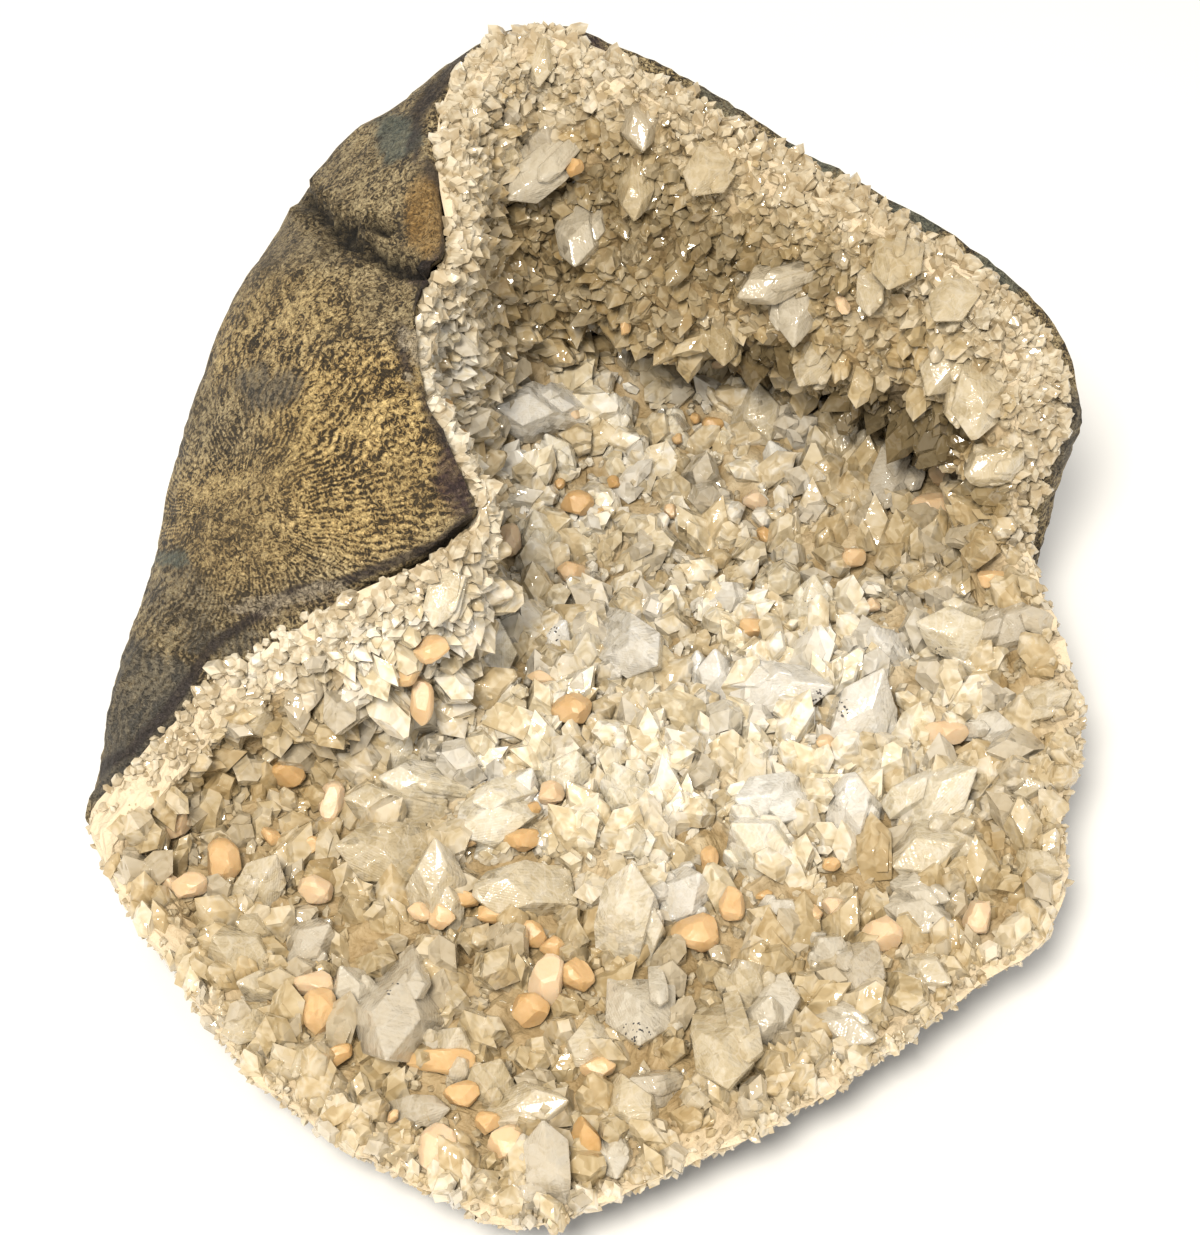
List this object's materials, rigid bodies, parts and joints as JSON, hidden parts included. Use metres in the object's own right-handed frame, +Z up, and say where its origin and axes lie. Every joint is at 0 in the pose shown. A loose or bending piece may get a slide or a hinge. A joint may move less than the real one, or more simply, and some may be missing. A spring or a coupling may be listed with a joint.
{
  "type": "apophyllite geode",
  "caption": "Open basalt nodule lined with clear to milky pointed apophyllite crystals and small apricot stilbite balls, resting on a flat cut foot.",
  "frame": {"origin": "middle of the flat cut foot that the specimen rests on", "axes": "+Z up out of the foot, -Y out of the open mouth towards the viewer, +Y along the longest extent, +Z along the shortest"},
  "size_m": [0.2499, 0.2907, 0.152],
  "materials": {
    "basalt": "matte weathered rock, wrinkled tan to dark grey-brown",
    "apophyllite": "milky to clear crystal with a vitreous lustre, greenish cream, with apricot stilbite balls"
  },
  "bodies": {
    "root": {"basalt_rind": "basalt", "crystal_crust": "apophyllite"}
  },
  "joints": []
}
